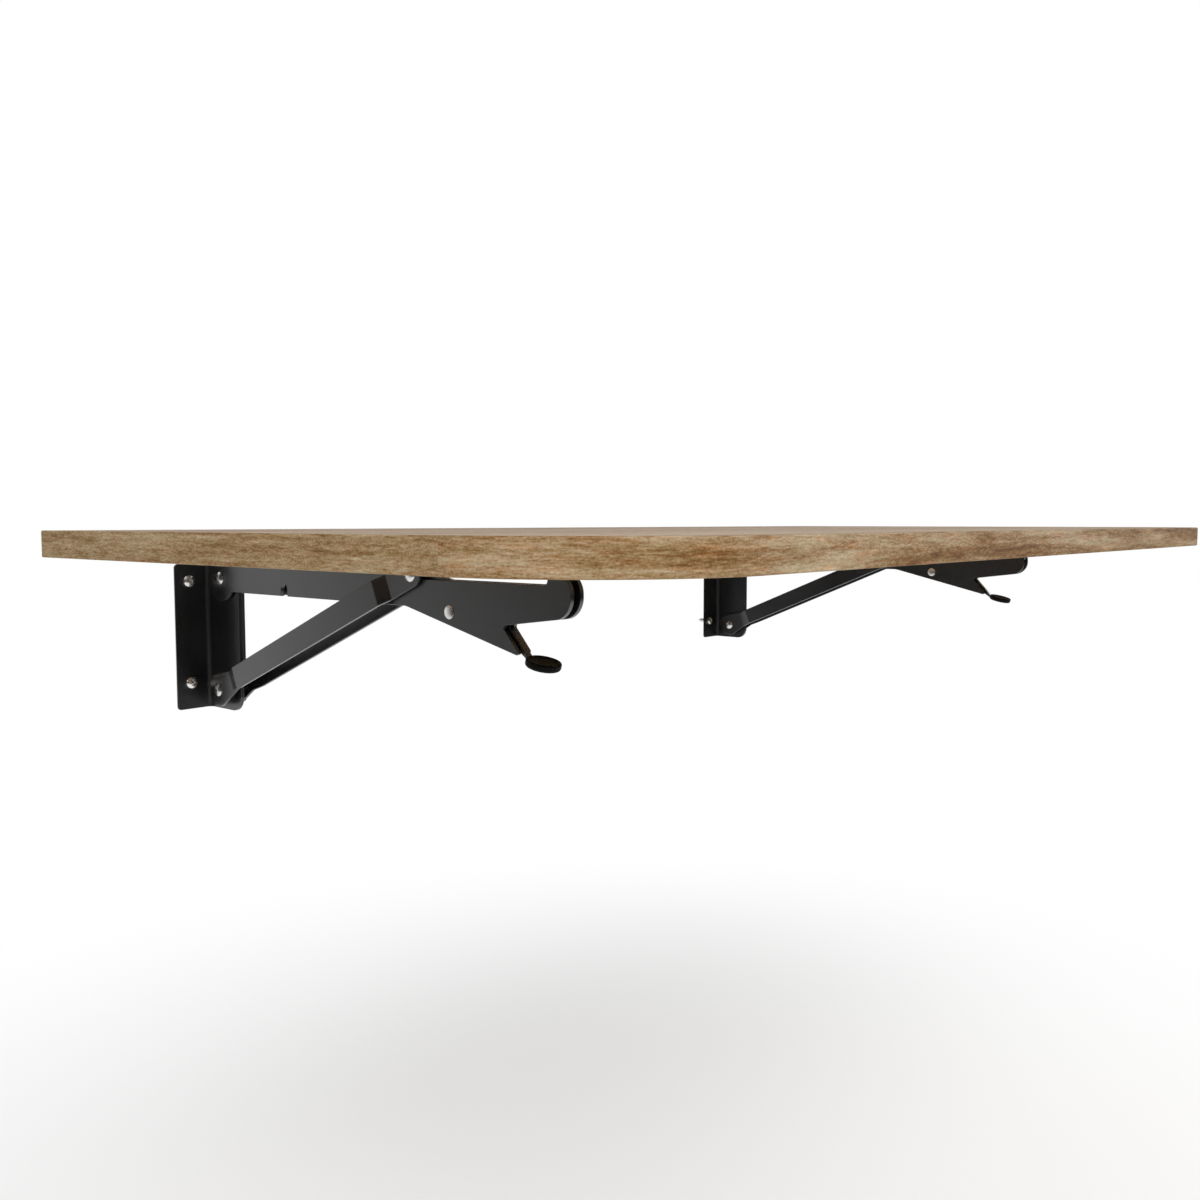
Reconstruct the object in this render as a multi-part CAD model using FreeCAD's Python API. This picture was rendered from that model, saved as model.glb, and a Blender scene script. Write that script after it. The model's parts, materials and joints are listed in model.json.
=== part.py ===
import FreeCAD, Part
import math
import os
from FreeCAD import Vector

# Wall mounted drop leaf table, millimetres.
# The wall is the plane y = 0 and the room lies towards -Y. +Z is up and X runs along the wall.
# The origin is on the wall plane, in the middle of the eight wall screws.
# The leaf is modelled open, level, with both struts locked under it.
# Points of the arm and lever outlines are (u, w): u forward from the arm hinge, w up from it.
# What the front of the arm carries is placed from the tip of its nose, so it moves with the arm's length.

# ---- leaf board
BOARD_LENGTH = 1000.0
BOARD_DEPTH = 500.0
BOARD_THICK = 18.0
FRONT_CORNER_R = 100.0
EDGE_BAND = 2.0
BOARD_BACK_GAP = 43.0        # wall plane to the back edge of the open leaf
BOARD_UNDERSIDE = 62.5       # height of the underside above the middle of the wall screws

# ---- general fits
PIN_CLEARANCE = 0.05         # radial, pin in a running bore
SIDE_CLEARANCE = 0.1         # between plates that turn past each other on a washer
OVERCUT = 1.0                # how far a cutting shape runs past the face it cuts
HEAD_RIM_SHARE = 0.35        # straight rim of a head, as a share of its height
HEAD_SHOULDER_SHARE = 0.8    # where a rivet head turns flatter, as a share of its height
HEAD_SHOULDER_R_SHARE = 0.82
HEAD_FLAT_SHARE = 0.45       # flat top of a head, as a share of its radius
SCREW_POINT_SHARE = 1.6      # length of a screw's point over its shank radius
STEEL_SHEET_WALL = 1.5
STEEL_SHEET_ARM = 3.0
STEEL_SHEET_STRUT = 2.5

# ---- brackets
BRACKET_INSET = 145.0        # end of the leaf to the middle plane of a bracket
ARM_GAP = 5.2                # clear space between the two arm cheeks

# ---- wall angles
WALL_PLATE_TOP = 53.5
WALL_PLATE_HEIGHT = 114.5
WALL_FLANGE = 30.0
WEB_DEPTH = 45.0
WEB_CORNER_R = 12.0
WALL_BEND_R = 4.0
FLANGE_CORNER_R = 3.0
WALL_SCREW_PITCH_Z = 80.0
WALL_SCREW_SIDE = 18.5       # from the middle plane of a bracket to a screw
WALL_SCREW_SHANK_R = 2.4
WALL_SCREW_NECK_R = 2.6      # plain neck in the thickness of the flange
WALL_SCREW_HEAD_R = 4.6
WALL_SCREW_HEAD_H = 3.0
WALL_SCREW_REACH = 16.0      # shank behind the wall plane
WALL_HOLE_CLEARANCE = 0.3

# ---- hinge of the arm on the wall web
ARM_HINGE_OUT = 26.0         # from the wall plane
ARM_HINGE_DROP = 20.0        # below the underside of the leaf
ARM_EYE_R = 17.5
ARM_RIVET_R = 4.0
ARM_RIVET_HEAD_R = 4.8
ARM_RIVET_HEAD_H = 2.0
ARM_WASHER_R = 8.0

# ---- arm cheeks; a size that ends in BACK runs from the tip of the nose towards the hinge
ARM_UNDER = 10.2             # lower edge below the hinge
ARM_LENGTH = 367.6           # hinge to the tip of the nose
ARM_BEND_BACK = 144.1        # where the lower edge starts to slope down to the tail
ARM_BEND_R = 20.0
TAIL_TIP_BACK = 39.0
TAIL_TIP_W = -35.4
TAIL_TIP_R = 1.5
CROTCH_BACK = 55.1
CROTCH_W = -17.6
CROTCH_R = 1.5
NOSE_LOWER_R = 13.0
NOSE_UPPER_R = 12.0
ARM_FLANGE = 24.0            # width of the board flange from the cheek's inner face
ARM_FLANGE_BEND_R = 2.0
REAR_FLANGE_START = 19.0
REAR_FLANGE_BACK = 155.6
FRONT_LUG_BACK = 15.6
FRONT_LUG_LENGTH = 11.5
ARM_TOP_AIR = 0.3            # between the board and the cheek where there is no flange
ARM_SCREW_SIDE = 17.5        # from the middle plane of a bracket
ARM_SCREW_FIRST = 34.0       # rearmost screw, from the arm hinge
ARM_SCREW_PITCH = 78.0       # to the second one
ARM_SCREW_EDGE = 16.0        # third screw to the end of the rear flange
ARM_SCREW_SHANK_R = 1.9
ARM_SCREW_HEAD_R = 3.6
ARM_SCREW_HEAD_H = 2.3
ARM_SCREW_REACH = 13.0
ARM_SCREW_HOLE_CLEARANCE = 0.3
PILOT_CLEARANCE = 0.05

# ---- slot of the strut pin in the arm cheeks
SLOT_DROP = 9.2              # slot centre line below the underside of the leaf
SLOT_CLEARANCE = 0.1         # round the strut pin
SLOT_FRONT_BACK = 18.1
STRUT_PIN_BACK = 134.6       # strut pin when the leaf is open

# ---- strut
STRUT_HINGE_OUT = 25.5       # from the wall plane
STRUT_HINGE_DROP = 87.0      # below the arm hinge
STRUT_DEPTH = 17.5
STRUT_EYE_R = 13.0
STRUT_EAR_GAP = 0.8          # between an arm cheek and a strut ear
STRUT_JOGGLE = 3.4           # step from the ear plane out to the body plane
STRUT_JOGGLE_RUN = 11.0
STRUT_EAR_FOOT = 20.0        # straight ear beyond the foot pin
STRUT_EAR_HEAD = 24.0        # straight ear before the head pin
STRUT_NECK_RUN = 8.0         # taper from the foot eye to the bar
STRUT_BEND_R = 1.5
STRUT_PIN_R = 3.1
STRUT_RIVET_R = 2.75
STRUT_SHOULDER_R = 3.5
STRUT_RIVET_HEAD_R = 5.0
STRUT_RIVET_HEAD_H = 1.8
FOOT_NOTCH_CLEARANCE = 0.35  # round the foot pin when the leaf is down
FOLD_LIMIT = 87.0            # degrees

# ---- release lever
LEVER_PIN_BACK = 101.6
LEVER_PIN_W = -12.1
LEVER_RIVET_R = 3.0
LEVER_RIVET_HEAD_R = 4.3
LEVER_RIVET_HEAD_H = 0.65
LEVER_AIR = 0.4              # between the lever and each cheek
LEVER_HUB_R = 7.6
LEVER_PROUD = 1.7            # how far the lever stands out of the tail's mouth
LEVER_REST_GAP = 0.3         # above the stop tab
PAWL_GAP = 0.3               # between the pawl and the strut pin
PAWL_DROP = 0.3              # back of the pawl below the slot
PAWL_TIP_ANGLE = 42.0        # top of the pawl's face, seen from the lever pin
PAWL_LOW_ANGLE = 24.0        # foot of the pawl's face
PAWL_BACK_R = 1.0
SPRING_WIRE = 1.2            # square section
SPRING_COIL_R = 5.0
SPRING_CLEARANCE = 0.15
SPRING_RECESS_R = 6.4
SPRING_RECESS_DEPTH = 1.5
STOP_TAB_THICK = 2.0
STOP_TAB_LENGTH = 8.0
STOP_TAB_BACK = 53.6

# ---- thumb pad
PAD_BACK = 26.1
PAD_W = -36.5
PAD_R = 10.7
PAD_THICK = 4.6
PAD_DISH = 1.0
PAD_RIM = 2.0
PAD_DISH_SLOPE = 1.6         # run of the dish's sloping wall
PAD_BEVEL = 0.7
TONGUE_THICK = 2.0
TONGUE_REACH = 19.0          # into the pad from its rear rim
TONGUE_ROOT_GAP = 0.6        # between the lever's shoulder and the pad's rim
TONGUE_ROOT_R = 0.6
HEEL_R = 2.0

# ---- values that follow
BRACKET_X = BOARD_LENGTH / 2 - BRACKET_INSET
ARM_BEND_U = ARM_LENGTH - ARM_BEND_BACK
TAIL_TIP_U = ARM_LENGTH - TAIL_TIP_BACK
CROTCH_U = ARM_LENGTH - CROTCH_BACK
REAR_FLANGE_END = ARM_LENGTH - REAR_FLANGE_BACK
FRONT_LUG_START = ARM_LENGTH - FRONT_LUG_BACK
ARM_SCREW_U = (ARM_SCREW_FIRST, ARM_SCREW_FIRST + ARM_SCREW_PITCH, REAR_FLANGE_END - ARM_SCREW_EDGE)
SLOT_FRONT_U = ARM_LENGTH - SLOT_FRONT_BACK
STRUT_PIN_U = ARM_LENGTH - STRUT_PIN_BACK
LEVER_PIN_U = ARM_LENGTH - LEVER_PIN_BACK
STOP_TAB_U = ARM_LENGTH - STOP_TAB_BACK
PAD_U = ARM_LENGTH - PAD_BACK
CHEEK_IN = ARM_GAP / 2
CHEEK_OUT = CHEEK_IN + STEEL_SHEET_ARM
EAR_IN = CHEEK_OUT + STRUT_EAR_GAP
EAR_OUT = EAR_IN + STEEL_SHEET_STRUT
BODY_IN = EAR_IN + STRUT_JOGGLE
HINGE_Y = -ARM_HINGE_OUT
HINGE_Z = BOARD_UNDERSIDE - ARM_HINGE_DROP
FOOT_Y = -STRUT_HINGE_OUT
FOOT_Z = HINGE_Z - STRUT_HINGE_DROP
SLOT_W = ARM_HINGE_DROP - SLOT_DROP
SLOT_R = STRUT_PIN_R + SLOT_CLEARANCE
HEAD_Y = HINGE_Y - STRUT_PIN_U
HEAD_Z = HINGE_Z + SLOT_W
STRUT_LENGTH = math.hypot(FOOT_Y - HEAD_Y, HEAD_Z - FOOT_Z)
STRUT_ANGLE = math.atan2(HEAD_Z - FOOT_Z, FOOT_Y - HEAD_Y)
BOARD_BACK_Y = -BOARD_BACK_GAP
BOARD_FRONT_Y = BOARD_BACK_Y - BOARD_DEPTH
TAIL_SLOPE = math.atan2(-ARM_UNDER - TAIL_TIP_W, TAIL_TIP_U - ARM_BEND_U)
WALL_PLATE_BOTTOM = WALL_PLATE_TOP - WALL_PLATE_HEIGHT
LEVER_THICK = ARM_GAP - 2 * LEVER_AIR

os.makedirs("parts", exist_ok=True)


# ---- drawing helpers

def arm_plane(u, w, x=0.0):
    """A point given forward (u) and up (w) from the arm hinge, leaf open."""
    return Vector(x, HINGE_Y - u, HINGE_Z + w)


def rounded_wire(corners, place):
    """Closed wire through (a, b, radius) corners, each rounded by a tangent arc."""
    spots = []
    count = len(corners)
    for i in range(count):
        before = Vector(*corners[i - 1][:2], 0)
        here = Vector(*corners[i][:2], 0)
        after = Vector(*corners[(i + 1) % count][:2], 0)
        radius = corners[i][2] if len(corners[i]) > 2 else 0.0
        to_before = (before - here).normalize()
        to_after = (after - here).normalize()
        half = to_before.getAngle(to_after) / 2
        if radius <= 0 or half > math.pi / 2 - 1e-4:
            spots.append((here, None, here))
            continue
        cut = radius / math.tan(half)
        bisector = (to_before + to_after).normalize()
        middle = here + bisector * (radius / math.sin(half) - radius)
        spots.append((here + to_before * cut, middle, here + to_after * cut))
    edges = []
    for i, (start, middle, end) in enumerate(spots):
        if middle is not None:
            arc = Part.Arc(place(start.x, start.y), place(middle.x, middle.y), place(end.x, end.y))
            edges.append(arc.toShape())
        following = spots[(i + 1) % count][0]
        if (following - end).Length > 1e-6:
            edges.append(Part.makeLine(place(end.x, end.y), place(following.x, following.y)))
    return Part.Wire(edges)


def slab(corners, place, direction):
    """Solid between a rounded outline and its copy moved by direction."""
    return Part.Face(rounded_wire(corners, place)).extrude(direction)


def side_slab(corners, x0, x1):
    """Outline in (u, w), solid from x0 to x1."""
    return slab(corners, lambda u, w: arm_plane(u, w, x0), Vector(x1 - x0, 0, 0))


def x_bar(radius, x0, x1, y, z):
    """Round bar along X."""
    return Part.makeCylinder(radius, x1 - x0, Vector(x0, y, z), Vector(1, 0, 0))


def turned(points, y, z):
    """Solid turned about the X line through (y, z). A point is (x, radius)."""
    corners = [Vector(x, 0, radius) for x, radius in points]
    outline = Part.makePolygon(corners + [corners[0]])
    solid = Part.Face(outline).revolve(Vector(0, 0, 0), Vector(1, 0, 0), 360)
    solid.translate(Vector(0, y, z))
    return solid


def rivet_head(x_seat, height, radius):
    """Outline points of a round head in two cones, from its seat to its top."""
    top = x_seat + height
    return [(x_seat, radius), (x_seat + height * HEAD_RIM_SHARE, radius),
            (x_seat + height * HEAD_SHOULDER_SHARE, radius * HEAD_SHOULDER_R_SHARE),
            (top, radius * HEAD_FLAT_SHARE), (top, 0.0)]


def screw(head_r, head_h, shank_r, length, neck_r=None, neck=0.0):
    """Pan head screw along +X, its head seated at x = 0, with a pointed shank and perhaps a thick neck."""
    outline = [(-head_h, 0.0), (-head_h, head_r * HEAD_FLAT_SHARE),
               (-head_h * HEAD_RIM_SHARE, head_r), (0.0, head_r)]
    if neck_r:
        outline += [(0.0, neck_r), (neck, neck_r)]
    point = length - shank_r * SCREW_POINT_SHARE
    return turned(outline + [(neck, shank_r), (point, shank_r), (length, 0.0)], 0, 0)


def through_rivet(y, z, shank_r, grip, head_r, head_h, shoulder_r=None, shoulder=0.0):
    """Rivet with two heads, its grip centred on x = 0, and an optional thick middle."""
    right = [(grip, shank_r)] + rivet_head(grip, head_h, head_r)
    left = [(-x, radius) for x, radius in reversed(right)]
    middle = []
    if shoulder_r:
        middle = [(-shoulder, shank_r), (-shoulder, shoulder_r), (shoulder, shoulder_r), (shoulder, shank_r)]
    return turned(left + middle + right, y, z)


def half_range(d, inner, outer):
    """Sorted x range of a piece that lies between inner and outer on the side d."""
    return (inner, outer) if d > 0 else (-outer, -inner)


def checked(solid):
    solid = solid.removeSplitter()
    if not solid.isValid():
        solid.fix(1e-5, 1e-5, 1e-4)
    return solid


# ---- leaf board

def board_outline(inset):
    """Leaf outline with two round front corners, drawn inset from the true edge."""
    half = BOARD_LENGTH / 2 - inset
    back = BOARD_BACK_Y - inset
    front = BOARD_FRONT_Y + inset
    radius = FRONT_CORNER_R - inset
    corners = [(-half, back, 0), (-half, front, radius), (half, front, radius), (half, back, 0)]
    place = lambda x, y: Vector(x, y, BOARD_UNDERSIDE)
    return slab(corners, place, Vector(0, 0, BOARD_THICK))


def board_pieces():
    full = board_outline(0.0)
    core = board_outline(EDGE_BAND)
    for sign in (-1, 1):
        for x, y in arm_screw_places():
            hole = Part.makeCylinder(ARM_SCREW_SHANK_R + PILOT_CLEARANCE, ARM_SCREW_REACH,
                                     Vector(sign * BRACKET_X + x, y, BOARD_UNDERSIDE))
            core = core.cut(hole)
    band = full.cut(board_outline(EDGE_BAND))
    back_box = Part.makeBox(BOARD_LENGTH - 2 * EDGE_BAND, EDGE_BAND, BOARD_THICK,
                            Vector(-BOARD_LENGTH / 2 + EDGE_BAND, BOARD_BACK_Y - EDGE_BAND, BOARD_UNDERSIDE))
    back = band.common(back_box)
    front = band.cut(back_box)
    return {"tabletop_board": core, "edge_band_front": front, "edge_band_back": back}


# ---- wall angles

def wall_angle(d):
    """One of the two bent angles that stand back to back and make the T against the wall."""
    t = STEEL_SHEET_WALL
    bend = WALL_BEND_R + t
    corners = [(0, 0, bend), (d * WALL_FLANGE, 0, 0), (d * WALL_FLANGE, -t, 0), (d * t, -t, WALL_BEND_R),
               (d * t, -WEB_DEPTH, 0), (0, -WEB_DEPTH, 0)]
    place = lambda x, y: Vector(x, y, WALL_PLATE_BOTTOM)
    angle = slab(corners, place, Vector(0, 0, WALL_PLATE_HEIGHT))
    side = [(OVERCUT, WALL_PLATE_BOTTOM, 0), (-WEB_DEPTH, WALL_PLATE_BOTTOM, WEB_CORNER_R),
            (-WEB_DEPTH, WALL_PLATE_TOP, WEB_CORNER_R), (OVERCUT, WALL_PLATE_TOP, 0)]
    half = WALL_FLANGE + OVERCUT
    angle = angle.common(slab(side, lambda y, z: Vector(-half, y, z), Vector(2 * half, 0, 0)))
    wide, round_r = WALL_FLANGE, FLANGE_CORNER_R
    front = [(-wide, WALL_PLATE_BOTTOM, round_r), (wide, WALL_PLATE_BOTTOM, round_r),
             (wide, WALL_PLATE_TOP, round_r), (-wide, WALL_PLATE_TOP, round_r)]
    angle = angle.common(slab(front, lambda x, z: Vector(x, OVERCUT, z),
                              Vector(0, -WEB_DEPTH - 2 * OVERCUT, 0)))
    angle = angle.cut(x_bar(ARM_RIVET_R + PIN_CLEARANCE, -WALL_FLANGE, WALL_FLANGE, HINGE_Y, HINGE_Z))
    angle = angle.cut(x_bar(STRUT_SHOULDER_R + PIN_CLEARANCE, -WALL_FLANGE, WALL_FLANGE, FOOT_Y, FOOT_Z))
    for z in (-WALL_SCREW_PITCH_Z / 2, WALL_SCREW_PITCH_Z / 2):
        start = Vector(d * WALL_SCREW_SIDE, -t - OVERCUT, z)
        hole_r = WALL_SCREW_NECK_R + WALL_HOLE_CLEARANCE
        angle = angle.cut(Part.makeCylinder(hole_r, t + 2 * OVERCUT, start, Vector(0, 1, 0)))
    return checked(angle)


def wall_screws():
    """Four pan head screws whose shanks stand out behind the wall plane."""
    screws = []
    for side in (-1, 1):
        for z in (-WALL_SCREW_PITCH_Z / 2, WALL_SCREW_PITCH_Z / 2):
            piece = screw(WALL_SCREW_HEAD_R, WALL_SCREW_HEAD_H, WALL_SCREW_SHANK_R,
                          STEEL_SHEET_WALL + WALL_SCREW_REACH, WALL_SCREW_NECK_R, STEEL_SHEET_WALL)
            piece.rotate(Vector(0, 0, 0), Vector(0, 0, 1), 90)
            piece.translate(Vector(side * WALL_SCREW_SIDE, -STEEL_SHEET_WALL, z))
            screws.append(piece)
    return screws


# ---- arms

def arm_screw_places():
    """Places (x, y) of the board screws of one arm."""
    lug_u = FRONT_LUG_START + FRONT_LUG_LENGTH / 2
    return [(side * ARM_SCREW_SIDE, HINGE_Y - u) for side in (-1, 1) for u in (*ARM_SCREW_U, lug_u)]


def board_flange(d, u0, u1):
    """Stretch of the arm's board flange with its bend and a short leg that merges with the cheek."""
    t = STEEL_SHEET_ARM
    top = ARM_HINGE_DROP
    leg = top - ARM_FLANGE_BEND_R - 2 * t
    corners = [(d * CHEEK_IN, top, ARM_FLANGE_BEND_R + t), (d * (CHEEK_IN + ARM_FLANGE), top, 0),
               (d * (CHEEK_IN + ARM_FLANGE), top - t, 0), (d * CHEEK_OUT, top - t, ARM_FLANGE_BEND_R),
               (d * CHEEK_OUT, leg, 0), (d * CHEEK_IN, leg, 0)]
    flange = slab(corners, lambda x, w: arm_plane(u0, w, x), Vector(0, u0 - u1, 0))
    plan = [(0, u0, 0), (d * (CHEEK_IN + ARM_FLANGE), u0, FLANGE_CORNER_R),
            (d * (CHEEK_IN + ARM_FLANGE), u1, FLANGE_CORNER_R), (0, u1, 0)]
    return flange.common(slab(plan, lambda x, u: arm_plane(u, leg - OVERCUT, x),
                              Vector(0, 0, top - leg + 2 * OVERCUT)))


def fold_notch():
    """Round ended notch that lands on the strut's foot pin when the leaf is down."""
    angle = math.radians(FOLD_LIMIT)
    y = -(FOOT_Y - HINGE_Y)
    z = FOOT_Z - HINGE_Z
    u = y * math.cos(angle) - z * math.sin(angle)
    w = y * math.sin(angle) + z * math.cos(angle)
    radius = STRUT_SHOULDER_R + FOOT_NOTCH_CLEARANCE
    x = CHEEK_OUT + OVERCUT
    bar = Part.makeCylinder(radius, 2 * x, arm_plane(u, w, -x), Vector(1, 0, 0))
    below = -ARM_UNDER - radius
    slot = Part.makeBox(2 * x, 2 * radius, w - below, arm_plane(u + radius, below, -x))
    return bar.fuse(slot)


def arm_half(d, with_stop):
    """Cheek of the arm, with the eye, the pin slot, the fish tail and the board flanges."""
    x0, x1 = half_range(d, CHEEK_IN, CHEEK_OUT)
    top = ARM_HINGE_DROP - ARM_TOP_AIR
    flange_top = ARM_HINGE_DROP - ARM_FLANGE_BEND_R - STEEL_SHEET_ARM
    outline = [(0, -ARM_UNDER, 0), (ARM_BEND_U, -ARM_UNDER, ARM_BEND_R), (TAIL_TIP_U, TAIL_TIP_W, TAIL_TIP_R),
               (CROTCH_U, CROTCH_W, CROTCH_R), (ARM_LENGTH, -ARM_UNDER, NOSE_LOWER_R),
               (ARM_LENGTH, flange_top, NOSE_UPPER_R), (FRONT_LUG_START, flange_top, 0),
               (FRONT_LUG_START, top, 0), (REAR_FLANGE_END, top, 0), (REAR_FLANGE_END, flange_top, 0),
               (0, flange_top, 0)]
    cheek = side_slab(outline, x0, x1)
    eye = Part.makeCylinder(ARM_EYE_R, x1 - x0, arm_plane(0, 0, x0), Vector(1, 0, 0))
    cheek = cheek.fuse([eye, board_flange(d, REAR_FLANGE_START, REAR_FLANGE_END),
                        board_flange(d, FRONT_LUG_START, FRONT_LUG_START + FRONT_LUG_LENGTH)])
    rear = STRUT_PIN_U - SLOT_R
    low, high = SLOT_W - SLOT_R, SLOT_W + SLOT_R
    slot = [(rear, low, SLOT_R), (SLOT_FRONT_U, low, SLOT_R),
            (SLOT_FRONT_U, high, SLOT_R), (rear, high, SLOT_R)]
    cut0, cut1 = x0 - OVERCUT, x1 + OVERCUT
    cheek = cheek.cut(side_slab(slot, cut0, cut1))
    cheek = cheek.cut(x_bar(ARM_RIVET_R + PIN_CLEARANCE, cut0, cut1, HINGE_Y, HINGE_Z))
    lever_pin = arm_plane(LEVER_PIN_U, LEVER_PIN_W)
    cheek = cheek.cut(x_bar(LEVER_RIVET_R + PIN_CLEARANCE, cut0, cut1, lever_pin.y, lever_pin.z))
    cheek = cheek.cut(fold_notch())
    for x, y in arm_screw_places():
        if x * d > 0:
            start = Vector(x, y, BOARD_UNDERSIDE - STEEL_SHEET_ARM - OVERCUT)
            cheek = cheek.cut(Part.makeCylinder(ARM_SCREW_SHANK_R + ARM_SCREW_HOLE_CLEARANCE,
                                                STEEL_SHEET_ARM + 2 * OVERCUT, start))
    if with_stop:
        cheek = cheek.fuse(stop_tab(d))
    return checked(cheek)


def tail_edge(u):
    """Height of the sloping lower edge of the arm's tail."""
    return -ARM_UNDER - (u - ARM_BEND_U) * math.tan(TAIL_SLOPE)


def stop_tab(d):
    """Tab bent in across the gap at the lower edge of the tail; the lever rests on it."""
    x0, x1 = half_range(d, -CHEEK_IN + SIDE_CLEARANCE, CHEEK_IN + STEEL_SHEET_ARM / 2)
    start = STOP_TAB_U - STOP_TAB_LENGTH
    rear, front = tail_edge(start), tail_edge(STOP_TAB_U)
    corners = [(start, rear), (STOP_TAB_U, front),
               (STOP_TAB_U, front + STOP_TAB_THICK), (start, rear + STOP_TAB_THICK)]
    return side_slab(corners, x0, x1)


def arm_screws():
    """Screws that hold the board flanges up under the board."""
    screws = []
    for x, y in arm_screw_places():
        piece = screw(ARM_SCREW_HEAD_R, ARM_SCREW_HEAD_H, ARM_SCREW_SHANK_R,
                      STEEL_SHEET_ARM + ARM_SCREW_REACH - PILOT_CLEARANCE)
        piece.rotate(Vector(0, 0, 0), Vector(0, 1, 0), -90)
        piece.translate(Vector(x, y, BOARD_UNDERSIDE - STEEL_SHEET_ARM))
        screws.append(piece)
    return screws


def arm_washers():
    washers = []
    for d in (-1, 1):
        x0, x1 = half_range(d, STEEL_SHEET_WALL, CHEEK_IN)
        ring = x_bar(ARM_WASHER_R, x0, x1, HINGE_Y, HINGE_Z)
        washers.append(ring.cut(x_bar(ARM_RIVET_R + PIN_CLEARANCE, x0, x1, HINGE_Y, HINGE_Z)))
    return washers


# ---- struts

def strut_plane(s, n, x=0.0):
    """A point given along (s) and square to (n) the line from the foot pin to the head pin."""
    c = math.cos(STRUT_ANGLE)
    k = math.sin(STRUT_ANGLE)
    return Vector(x, FOOT_Y - s * c + n * k, FOOT_Z + s * k + n * c)


def strut_bar(d):
    """Flat bar with both ends joggled inwards to the ears."""
    half = STRUT_DEPTH / 2
    t = STEEL_SHEET_STRUT
    foot_end = STRUT_EAR_FOOT
    head_start = STRUT_LENGTH - STRUT_EAR_HEAD
    run = STRUT_JOGGLE_RUN
    low = -STRUT_EYE_R - OVERCUT
    high = STRUT_LENGTH + half + OVERCUT
    inner_r = STRUT_BEND_R
    outer_r = STRUT_BEND_R + t
    body_out = BODY_IN + t
    section = [(low, EAR_IN, 0), (foot_end, EAR_IN, outer_r), (foot_end + run, BODY_IN, inner_r),
               (head_start - run, BODY_IN, inner_r), (head_start, EAR_IN, outer_r), (high, EAR_IN, 0),
               (high, EAR_OUT, 0), (head_start, EAR_OUT, inner_r), (head_start - run, body_out, outer_r),
               (foot_end + run, body_out, outer_r), (foot_end, EAR_OUT, inner_r), (low, EAR_OUT, 0)]
    reach = STRUT_EYE_R + OVERCUT
    lift = strut_plane(0, reach) - strut_plane(0, -reach)
    bar = slab(section, lambda s, x: strut_plane(s, -reach, d * x), lift)
    x0, x1 = half_range(d, EAR_IN - OVERCUT, body_out + OVERCUT)
    across = Vector(x1 - x0, 0, 0)
    band = [(0, -half, 0), (STRUT_LENGTH, -half, 0), (STRUT_LENGTH, half, 0), (0, half, 0)]
    outline = slab(band, lambda s, n: strut_plane(s, n, x0), across)
    foot = Part.makeCylinder(STRUT_EYE_R, x1 - x0, strut_plane(0, 0, x0), Vector(1, 0, 0))
    head = Part.makeCylinder(half, x1 - x0, strut_plane(STRUT_LENGTH, 0, x0), Vector(1, 0, 0))
    neck_end = STRUT_EYE_R + STRUT_NECK_RUN
    neck = [(0, -STRUT_EYE_R, 0), (neck_end, -half, 0), (neck_end, half, 0), (0, STRUT_EYE_R, 0)]
    outline = outline.fuse([foot, head, slab(neck, lambda s, n: strut_plane(s, n, x0), across)])
    bar = bar.common(outline.removeSplitter())
    hole = STRUT_RIVET_R + PIN_CLEARANCE
    bar = bar.cut(x_bar(hole, x0, x1, FOOT_Y, FOOT_Z))
    bar = bar.cut(x_bar(hole, x0, x1, HEAD_Y, HEAD_Z))
    return checked(bar)


def strut_head_rivets():
    """One short rivet in each upper ear; its place in the arm slot is taken by a roller."""
    rivets = []
    for d in (-1, 1):
        points = [(EAR_IN, 0.0), (EAR_IN, STRUT_RIVET_R), (EAR_OUT, STRUT_RIVET_R)]
        points += rivet_head(EAR_OUT, STRUT_RIVET_HEAD_H, STRUT_RIVET_HEAD_R)
        rivets.append(turned([(d * x, radius) for x, radius in points], HEAD_Y, HEAD_Z))
    return rivets


def slot_rollers():
    rollers = []
    for d in (-1, 1):
        x0, x1 = half_range(d, CHEEK_IN + SIDE_CLEARANCE, CHEEK_OUT)
        rollers.append(x_bar(STRUT_PIN_R, x0, x1, HEAD_Y, HEAD_Z))
    return rollers


# ---- release lever

def lever_plane(p, q, x=0.0):
    """A point given back (p) and up (q) from the lever pin."""
    return arm_plane(LEVER_PIN_U - p, LEVER_PIN_W + q, x)


def lever_slab(corners, x0, x1):
    return slab(corners, lambda p, q: lever_plane(p, q, x0), Vector(x1 - x0, 0, 0))


def polar(radius, degrees):
    """A (p, q) point of the lever, seen from its pin."""
    return radius * math.cos(math.radians(degrees)), radius * math.sin(math.radians(degrees))


def pawl(half):
    """Pawl behind the strut pin. Its face is an arc about the lever pin, so it frees under load."""
    pin_p = LEVER_PIN_U - STRUT_PIN_U
    pin_q = SLOT_W - LEVER_PIN_W
    face_r = math.hypot(pin_p, pin_q) - STRUT_PIN_R - PAWL_GAP
    beyond = (face_r + OVERCUT) / math.cos(math.radians(PAWL_TIP_ANGLE - PAWL_LOW_ANGLE))
    outline = [(0, pin_q - SLOT_R - PAWL_DROP, PAWL_BACK_R), polar(face_r, PAWL_TIP_ANGLE),
               polar(beyond, PAWL_TIP_ANGLE), polar(beyond, PAWL_LOW_ANGLE),
               polar(face_r, PAWL_LOW_ANGLE), (0, -LEVER_HUB_R), (-LEVER_HUB_R, 0)]
    face = Part.makeCylinder(face_r, 2 * half, lever_plane(0, 0, -half), Vector(1, 0, 0))
    return lever_slab(outline, -half, half).common(face)


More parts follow.
